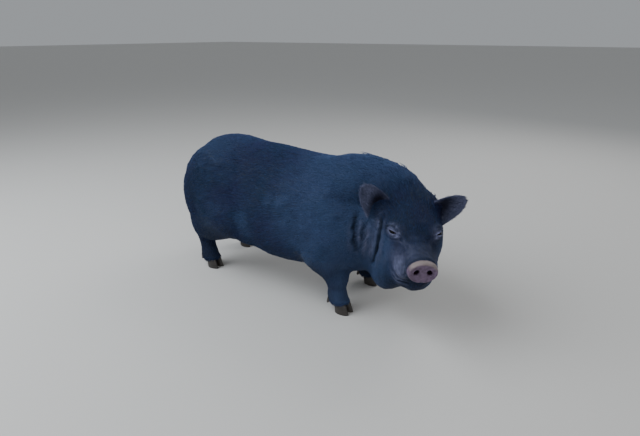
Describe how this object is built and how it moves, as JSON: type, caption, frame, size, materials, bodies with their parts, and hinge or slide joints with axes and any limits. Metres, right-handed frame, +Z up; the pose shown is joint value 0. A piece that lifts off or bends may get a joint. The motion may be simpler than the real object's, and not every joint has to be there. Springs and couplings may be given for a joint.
{
  "type": "pot-bellied pig",
  "caption": "Life-size black pot-bellied pig standing squarely, head lowered and turned to its right, short snout with a bare nose disc, small upright ears and a low round belly.",
  "frame": {"origin": "on the floor, under the middle of the whole animal's box", "axes": "+X forwards along the trunk, towards the head; +Y to the pig's own left; +Z up"},
  "size_m": [0.9496, 0.3942, 0.4324],
  "materials": {
    "hide": "dull blue-black skin under short, flat, bristly black hair",
    "nose": "bare mauve-grey skin, moist",
    "ear": "thin dark skin with short fine hair",
    "horn": "dark grey horn, slightly worn",
    "eye": "wet and glossy, very dark brown",
    "switch": "coarse black hair"
  },
  "bodies": {
    "root": {"claw_fore_left_inner": "horn", "claw_fore_left_outer": "horn", "claw_fore_right_inner": "horn", "claw_fore_right_outer": "horn", "claw_hind_left_inner": "horn", "claw_hind_left_outer": "horn", "claw_hind_right_inner": "horn", "claw_hind_right_outer": "horn", "dewclaw_fore_left_inner": "horn", "dewclaw_fore_left_outer": "horn", "dewclaw_fore_right_inner": "horn", "dewclaw_fore_right_outer": "horn", "dewclaw_hind_left_inner": "horn", "dewclaw_hind_left_outer": "horn", "dewclaw_hind_right_inner": "horn", "dewclaw_hind_right_outer": "horn", "ear_left": "ear", "ear_right": "ear", "eye_left": "eye", "eye_right": "eye", "foreleg_left": "hide", "foreleg_right": "hide", "head": "hide", "hindleg_left": "hide", "hindleg_right": "hide", "lower_jaw": "hide", "neck": "hide", "nose_disc": "nose", "snout": "hide", "tail": "hide", "tail_switch": "switch", "trunk": "hide"}
  },
  "joints": []
}
